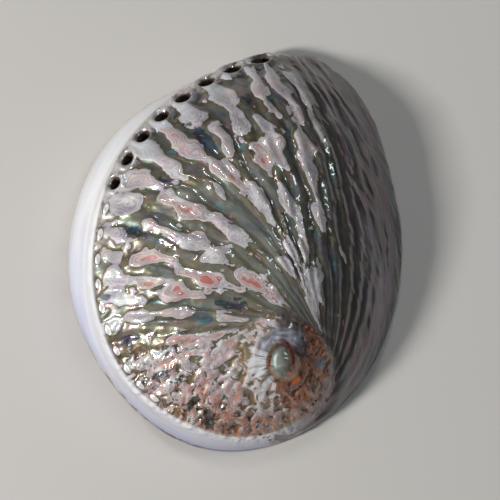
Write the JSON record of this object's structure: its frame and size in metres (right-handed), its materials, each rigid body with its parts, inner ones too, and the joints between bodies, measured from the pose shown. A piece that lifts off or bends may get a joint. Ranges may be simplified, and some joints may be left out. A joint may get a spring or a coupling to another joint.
{
  "type": "abalone shell",
  "caption": "Polished ear-shaped shell lying on its rim, with a low spire near one end and a row of round pores along the keel over a wide hollow.",
  "frame": {"origin": "middle of the bounding box in plan, on the plane that the rim rests on", "axes": "+Z out of the domed outside, +Y from the spire towards the growing front, and the keel with its pores on the -X side"},
  "size_m": [0.1272, 0.1544, 0.0419],
  "materials": {
    "nacre": "polished"
  },
  "bodies": {
    "root": {"shell": "nacre"}
  },
  "joints": []
}
